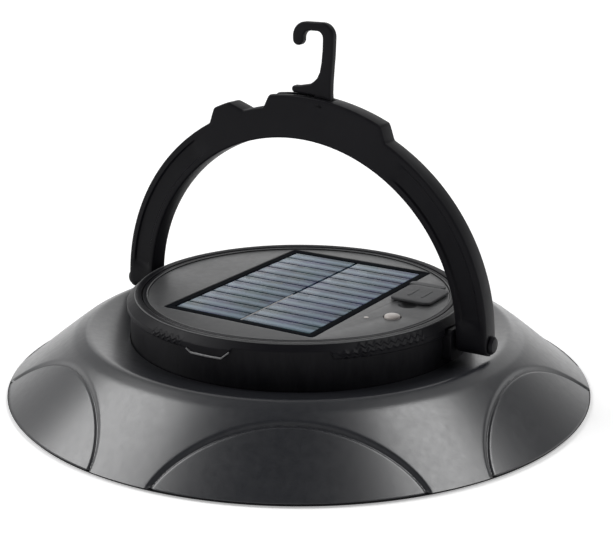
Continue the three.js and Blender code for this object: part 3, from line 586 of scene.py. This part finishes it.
def cap():
    """The bevelled ring: its skirt, the relief on it, and a notch over each boss."""
    rings = []
    bosses = (0.0, 180.0, -180.0)
    for degrees in np.linspace(-180, 180, 1440, endpoint=False):
        edge = skirt_edge(degrees)
        boss_reach = math.degrees((BOSS_HALF + 0.5) / HUB_R)
        if min(abs(degrees - b) for b in bosses) < boss_reach:
            edge = BOSS_TOP_Z + 0.4
        a = math.radians(degrees)
        rows = [(HUB_R + 0.1, edge)]
        for z in np.linspace(edge, CAP_TOP_Z - 0.25, 26):
            on_bevel = max(0, z - BEVEL_Z) / (CAP_TOP_Z - BEVEL_Z)
            radius = CAP_R - (CAP_R - CAP_LIP_R) * on_bevel - 0.25 * max(0, 1 - (z - edge) / 0.3)
            rows.append((radius + knurl(degrees, z), z))
        rows += [(CAP_LIP_R - 0.15, CAP_TOP_Z - 0.04), (CAP_LIP_R - 0.5, CAP_TOP_Z),
                 (CAP_BORE + 0.35, CAP_TOP_Z), (CAP_BORE + 0.1, CAP_TOP_Z - 0.1),
                 (CAP_BORE, CAP_TOP_Z - 0.35), (CAP_BORE, 29.5), (HUB_R - 2, 29.5)]
        rings.append([(r * math.cos(a), r * math.sin(a), z) for r, z in rows])
    piece("cap_skin", lofted(rings, closed=True), MATERIALS["black_plastic"],
          stands_for=["cap_ring"])


HIGHLIGHT_BEAD = 0.22


def highlight_ring(name, radius, z):
    """A fine raised line round the top of the hub, in the paler hub-top grey: a painted highlight."""
    loop = [(radius + x, z + y) for x, y in round_loop(0, 0, HIGHLIGHT_BEAD, 10)]
    piece(name, turned(loop, 300), MATERIALS["hub_top_plastic"])


def tab_highlight_bead():
    """A pale bead along the lower edge of the thumb tab, its lighter grey a painted highlight."""
    path = [(TAB["left"] - 1.9, CAP_EDGE_Z), (TAB["left"] - 0.2, TAB["z"]), (TAB["right"], TAB["z"]),
            (STEP["left"] - 0.8, 29.2)]
    rings = []
    for degrees in np.linspace(path[0][0], path[-1][0], 60):
        a = math.radians(degrees)
        z = np.interp(degrees, *zip(*path))
        rings.append([((CAP_R + x) * math.cos(a), (CAP_R + x) * math.sin(a), z + y)
                      for x, y in round_loop(0, 0, 0.34, 10)])
    piece("tab_highlight_bead", lofted(rings), MATERIALS["highlight_and_ribbon_grey"])


# ------------------------------------------------------------------ top plate, panel and controls

SCOOP_X = (FLAP_LOW.x + FLAP_HIGH.x) / 2 + 0.6
PORT_Y = 15.5


def plate():
    """The raised lip, and the disc with its pocket, holes and finger scoop."""
    rim = [(PLATE_R - 2.2, PLATE_UNDER_Z + 1.4), (PLATE_R, PLATE_UNDER_Z + 1.4),
           (PLATE_R, PLATE_LIP_Z - 0.15), (PLATE_R - 0.15, PLATE_LIP_Z), (PLATE_R - 1.35, PLATE_LIP_Z),
           (PLATE_R - 1.55, PLATE_LIP_Z - 0.12), (PLATE_R - 1.75, PLATE_Z - 0.2),
           (PLATE_R - 2.2, PLATE_Z - 0.3)]
    piece("plate_lip", turned(rim, 360), MATERIALS["black_plastic"])
    loops = [
        round_loop(0, 0, PLATE_R - 1.85, 240),
        rect_loop(PANEL_LOW.x - 0.3, PANEL_HIGH.x + 0.3, PANEL_LOW.y - 0.3, PANEL_HIGH.y + 0.3, 1.2),
        round_loop(BUTTON_X, BUTTON_Y, BUTTON_R + 0.35),
        rect_loop(SCOOP_X - 5, SCOOP_X + 4, PORT_Y - 2.6, PORT_Y + 2.6, 0.6),
    ]
    disc = slab(loops, PLATE_UNDER_Z, PLATE_Z, 0.15)
    ball = bpy.data.meshes.new("scoop")
    bm = bmesh.new()
    bmesh.ops.create_uvsphere(bm, u_segments=48, v_segments=32, radius=4.4 * MM)
    bm.to_mesh(ball)
    bm.free()
    ball.transform(Matrix.Translation(Vector((SCOOP_X, FLAP_LOW.y - 1.4, PLATE_Z + 2.9)) * MM))
    piece("plate_disc", carved(disc, [ball]), MATERIALS["hub_top_plastic"],
          stands_for=["top_plate"])


def panel():
    """The black margin, each cell strip as its own thin raised bar, and the ribbon between the columns."""
    margin_top = PLATE_Z - 0.1
    outer = rect_loop(PANEL_LOW.x, PANEL_HIGH.x, PANEL_LOW.y, PANEL_HIGH.y, 1)
    inner = rect_loop(PANEL_LOW.x + PANEL_MARGIN, PANEL_HIGH.x - PANEL_MARGIN, PANEL_LOW.y + PANEL_MARGIN,
                      PANEL_HIGH.y - PANEL_MARGIN, 0.4)
    piece("margin_fine", slab([outer, inner], PANEL_HIGH.z, margin_top, 0.12), MATERIALS["panel_black"],
          stands_for=["panel_margin"])
    low_x, high_x = PANEL_LOW.x + PANEL_MARGIN + 0.3, PANEL_HIGH.x - PANEL_MARGIN - 0.3
    low_y, high_y = PANEL_LOW.y + PANEL_MARGIN + 0.2, PANEL_HIGH.y - PANEL_MARGIN - 0.2
    middle = (low_x + high_x) / 2
    pitch = (high_y - low_y) / CELL_ROWS
    columns = {"left": (low_x, middle - COLUMN_GAP / 2), "right": (middle + COLUMN_GAP / 2, high_x)}
    for side, (x0, x1) in columns.items():
        for row in range(CELL_ROWS):
            y0 = low_y + row * pitch + 0.35
            outline = rect_loop(x0, x1, y0, y0 + pitch - 0.7, 0.25, 3)
            strip = slab([outline], PANEL_HIGH.z, margin_top - 0.12, 0.06)
            name = f"cell_{side}_{row + 1:02d}"
            stands_for = [f"panel_cells_{side}", "panel_resin"] if row == 0 else []
            piece(name, strip, MATERIALS["solar_cell"], stands_for=stands_for)
    ribbon_loop = rect_loop(middle - 0.38, middle + 0.38, low_y, low_y + 4.6 * pitch, 0.1, 2)
    ribbon = slab([ribbon_loop], PANEL_HIGH.z, margin_top - 0.2, 0.05)
    piece("cell_ribbon", ribbon, MATERIALS["highlight_and_ribbon_grey"])


def button():
    """The domed button with the flange that keeps it in."""
    r = BUTTON_R
    top = BUTTON_HIGH.z
    profile = [(0, BUTTON_LOW.z), (r + 1.3, BUTTON_LOW.z), (r + 1.3, BUTTON_LOW.z + 0.9),
               (r, BUTTON_LOW.z + 0.9), (r, top - 0.8), (r - 0.1, top - 0.55), (r - 0.35, top - 0.35),
               (r - 0.8, top - 0.18), (1.2, top - 0.04), (0, top)]
    mesh = turned(profile, 72)
    mesh.transform(Matrix.Translation(Vector((BUTTON_X, BUTTON_Y, 0)) * MM))
    piece("button_fine", mesh, MATERIALS["button_plastic"], body="power_button",
          stands_for=["power_button"])


def flap():
    """The port cover: a crowned pad with two grip bars, and the strap's fixed end behind it."""
    low, high = FLAP_LOW, FLAP_HIGH
    base = PLATE_Z + 0.3
    pad = slab([rect_loop(low.x, high.x, low.y, high.y, 2.4)], base, high.z - 0.15, 0.35)
    middle = (low.x + high.x) / 2
    bars = [slab([rect_loop(x - 0.55, x + 0.55, low.y + 4.5, high.y - 4.5, 0.5)], base + 0.5, high.z, 0.2)
            for x in (middle - 2.5, middle + 2.5)]
    plug = block(middle - 3.2, middle + 3.2, PORT_Y - 0.7, PORT_Y + 0.7, low.z, base + 0.4)
    piece("flap_pad", carved(pad, [*bars, plug], "UNION"), MATERIALS["rubber"], body="port_flap",
          stands_for=["port_flap"])
    anchor = slab([rect_loop(ANCHOR_LOW.x, ANCHOR_HIGH.x, ANCHOR_LOW.y, ANCHOR_HIGH.y, 1.2)], ANCHOR_LOW.z,
                  ANCHOR_HIGH.z - 0.4, 0.25)
    piece("anchor_fine", anchor, MATERIALS["rubber"], stands_for=["flap_anchor"])


# ------------------------------------------------------------------ bail and hook

PIN_R = 2.0
HEAD_R = 3.0
BORE_R = 2.3


def crown_rise():
    """How far the bail's outer edge stands above its plain ellipse, against x: the crown, less its notch."""
    return softened([(-60, 0), (-34.9, 0), (-31.2, CROWN_RISE), (-25.5, CROWN_RISE), (-20.7, 0), (-12.2, 0),
                     (-9.4, CROWN_RISE), (31.2, CROWN_RISE), (34.9, 0), (60, 0)], 0.8)


def bail_section(inner, outer, half, depth):
    """One closed section across the bail, from its inner to its outer edge, with a channel in both faces."""
    inner, outer = Vector(inner), Vector(outer)
    wide = (outer - inner).length
    along = (outer - inner) / wide
    corner = min(0.7, half * 0.8)
    arcs = [math.radians(90 * i / 3) for i in range(4)]
    side = [(corner * (1 - math.cos(t)), half - corner * (1 - math.sin(t))) for t in arcs]
    channel = [(FLANGE - 0.2, half), (FLANGE + 0.3, half - depth)]
    half_side = side + channel
    face = half_side + [(wide - s, y) for s, y in reversed(half_side)]
    loop = face + [(s, -y) for s, y in reversed(face)]
    return [(inner.x + along.x * s, y, inner.y + along.y * s) for s, y in loop]


def bail():
    """The arch, lofted from foot to foot, with the hook's slot and the pin bores cut out of it."""
    rise = crown_rise()
    stations = []
    foot = [math.radians(a) for a in (-84, -75, -60, -45, -30, -15)]
    for a in foot:
        z = PIVOT_Z + BAIL_HALF * math.sin(a)
        stations.append(((INNER_A, z), (OUTER_A, z), BAIL_HALF * math.cos(a), 0.0))
    degrees = np.concatenate([np.arange(0, 58, 1.5), np.arange(58, 122, 0.2), np.arange(122, 181, 1.5)])
    for angle in np.radians(degrees):
        c, s = math.cos(angle), math.sin(angle)
        lift = float(rise((OUTER_A + 2) * c))
        inner = (INNER_A * c, PIVOT_Z + INNER_B * s)
        outer = ((OUTER_A + lift) * c, PIVOT_Z + (OUTER_B + lift) * s)
        away = abs(math.degrees(angle) - 90)
        channel = CHANNEL_DEPTH * min(1, max(0, (away - 33) / 6)) * min(1, max(0, (86 - away) / 3))
        stations.append((inner, outer, BAIL_HALF, channel))
    for a in reversed(foot):
        z = PIVOT_Z + BAIL_HALF * math.sin(a)
        stations.append(((-INNER_A, z), (-OUTER_A, z), BAIL_HALF * math.cos(a), 0.0))
    arch = lofted([bail_section(*station) for station in stations])
    slot_left, slot_right, slot_wide = SLOT
    slot_cut = block(slot_left, slot_right, -slot_wide / 2, slot_wide / 2, PIVOT_Z + 40, PIVOT_Z + 90)
    bores = []
    for side in (-1, 1):
        bore = turned([(0, 50), (BORE_R, 50), (BORE_R, 80), (0, 80)], 32)
        bore.transform(Matrix.Rotation(side * math.pi / 2, 4, "Y"))
        bore.transform(Matrix.Translation((0, 0, PIVOT_Z * MM)))
        bores.append(bore)
    piece("bail_skin", carved(arch, [slot_cut, *bores]), MATERIALS["black_plastic"],
          body="bail", stands_for=["bail"])


def arc(x, z, radius, start, end, steps=10):
    """Points round a centre between two angles in degrees."""
    turn = np.radians(np.linspace(start, end, steps))
    return [(x + radius * math.cos(t), z + radius * math.sin(t)) for t in turn]


def hook():
    """The hook's outline in X and Z, from its knuckle up the shank, over the top and down to the tip."""
    knuckle = 3.2
    loop = arc(HOOK_X, HOOK_Z, knuckle, 180, 360, 16)
    loop += [(12.5, 100.6), (12.6, 104), (12.9, 108), (13.3, 113)]
    loop += arc(9.0, 118.6, 4.5, 0, 90, 12)
    loop += arc(2.9, 118.4, 4.7, 90, 180, 12)
    loop += arc(0.15, 117.35, 1.95, 180, 360, 14)
    loop += arc(4.6, 117.8, 2.5, 180, 90, 6)
    loop += arc(7.2, 118.0, 2.3, 90, 0, 8)
    loop += [(9.4, 114.3), (9.0, 110.2), (8.4, 107.2)]
    loop += [(7.4, 105.2), (6.2, 104.1), (4.9, 103.2), (0.3, 102.3)]
    loop += arc(-1.0, 101.1, 1.2, 100, 250, 8)
    loop += [(6.4, 99.4)]
    hole = round_loop(HOOK_X, HOOK_Z, 1.5, 24)
    mesh = slab([loop, hole], -HOOK_THICK / 2, HOOK_THICK / 2, 0.75, upright=True, segments=4)
    piece("hook_fine", mesh, MATERIALS["black_plastic"], body="hook", stands_for=["hook"])


def pins():
    """The pins at the limbs' feet, with low domed heads."""
    for side, name in ((1, "right"), (-1, "left")):
        low, high = low_high(f"bail_pin_{name}")
        tip = max(abs(low.x), abs(high.x))
        tail = min(abs(low.x), abs(high.x))
        head = OUTER_A + 0.3
        profile = [(0, tail), (PIN_R - 0.2, tail), (PIN_R, tail + 0.2), (PIN_R, head), (HEAD_R - 0.1, head),
                   (HEAD_R, head + 0.15), (HEAD_R - 0.1, head + 0.6), (2.3, tip - 0.25), (1.2, tip - 0.05),
                   (0, tip)]
        mesh = turned(profile, 48)
        mesh.transform(Matrix.Rotation(side * math.pi / 2, 4, "Y"))
        mesh.transform(Matrix.Translation((0, 0, PIVOT_Z * MM)))
        piece(f"pin_{name}_fine", mesh, MATERIALS["black_plastic"],
              stands_for=[f"bail_pin_{name}"])


# ------------------------------------------------------------------ stage, lights and camera

CAMERA = {"azimuth": 31.935, "elevation": 16.277, "distance": 446.62, "target_z": 42.1, "roll": 0.04,
          "lens": 77.08, "sensor": 36.0, "shift": (0.0122, -0.0221)}


def camera():
    """The camera, placed by angles round a point on the lantern's axis."""
    data = bpy.data.cameras.new("camera")
    data.lens = CAMERA["lens"]
    data.sensor_width = CAMERA["sensor"]
    data.shift_x, data.shift_y = CAMERA["shift"]
    data.clip_start = 0.01
    obj = bpy.data.objects.new("camera", data)
    bpy.context.scene.collection.objects.link(obj)
    azimuth, elevation = math.radians(CAMERA["azimuth"]), math.radians(CAMERA["elevation"])
    back = Vector((math.sin(azimuth) * math.cos(elevation), -math.cos(azimuth) * math.cos(elevation),
                   math.sin(elevation)))
    target = Vector((0, 0, CAMERA["target_z"]))
    rotation = back.to_track_quat("Z", "Y").to_matrix().to_4x4()
    rotation = rotation @ Matrix.Rotation(math.radians(CAMERA["roll"]), 4, "Z")
    obj.matrix_world = Matrix.Translation((target + back * CAMERA["distance"]) * MM) @ rotation
    bpy.context.scene.camera = obj


def sun(name, azimuth, elevation, spread, strength):
    """A far soft light, `spread` degrees wide, seen from the lantern at these angles.

    The azimuth turns from +X towards +Y."""
    data = bpy.data.lights.new(name, "SUN")
    data.energy = strength
    data.angle = math.radians(spread)
    obj = bpy.data.objects.new(name, data)
    bpy.context.scene.collection.objects.link(obj)
    a, e = math.radians(azimuth), math.radians(elevation)
    towards = Vector((math.cos(a) * math.cos(e), math.sin(a) * math.cos(e), math.sin(e)))
    obj.matrix_world = towards.to_track_quat("Z", "Y").to_matrix().to_4x4()


# Brightness of the room against height: the sine of the angle above the horizon, then the strength.
ROOM = [(0.0, 1.0), (0.1, 0.8), (0.3, 0.42), (0.5, 0.14), (0.75, 0.05), (1.0, 0.03)]


def room():
    """A studio whose walls are white at the horizon and fade to a dark ceiling."""
    world = bpy.data.worlds.new("room")
    world.use_nodes = True
    tree = world.node_tree
    direction = tree.nodes.new("ShaderNodeTexCoord")
    split = tree.nodes.new("ShaderNodeSeparateXYZ")
    ramp = tree.nodes.new("ShaderNodeValToRGB")
    tree.links.new(direction.outputs["Generated"], split.inputs["Vector"])
    tree.links.new(split.outputs["Z"], ramp.inputs["Fac"])
    tree.links.new(ramp.outputs["Color"], tree.nodes["Background"].inputs["Color"])
    stops = ramp.color_ramp.elements
    while len(stops) < len(ROOM):
        stops.new(0.5)
    for stop, (height, strength) in zip(stops, ROOM):
        stop.position = height
        stop.color = (strength, strength, strength, 1)
    bpy.context.scene.world = world


def studio():
    """A pale floor, the room, and soft lights on the left, high on the right and low behind."""
    scene = bpy.context.scene
    scene.view_settings.view_transform = "Standard"
    mesh = bpy.data.meshes.new("floor")
    reach = 6.0
    corners = [(-reach, -reach, 0), (reach, -reach, 0), (reach, reach, 0), (-reach, reach, 0)]
    mesh.from_pydata(corners, [], [(0, 1, 2, 3)])
    n = Nodes("floor")
    n.set(Base_Color=(0.93, 0.93, 0.93, 1), Roughness=0.8, Specular_IOR_Level=0.1,
          Emission_Color=(1, 1, 1, 1), Emission_Strength=0.35)
    mesh.materials.append(n.material)
    floor = bpy.data.objects.new("floor", mesh)
    scene.collection.objects.link(floor)
    room()
    sun("left_light", -164, 43, 36, 1.6)
    sun("right_light", 36, 58, 24, 1.0)
    sun("back_light", 115, 30, 60, 0.5)


def dress_cad():
    """Gives every CAD node that still shows its slot's finished material."""
    slots = {part["node"]: part["material_slot"] for part in frame["record"]["subparts"]}
    for name, node in frame["nodes"].items():
        node.data.materials.clear()
        node.data.materials.append(MATERIALS[slots[name]])


camera()
studio()
dress_cad()
dome()
underside()
hub()
cap()
# Paler lines on the cap's lip and the plate's lip: painted highlights.
highlight_ring("cap_highlight_line", CAP_LIP_R - 0.1, CAP_TOP_Z - 0.1)
highlight_ring("plate_highlight_line", PLATE_R - 1.5, PLATE_LIP_Z - 0.1)
tab_highlight_bead()
plate()
panel()
button()
flap()
bail()
hook()
pins()
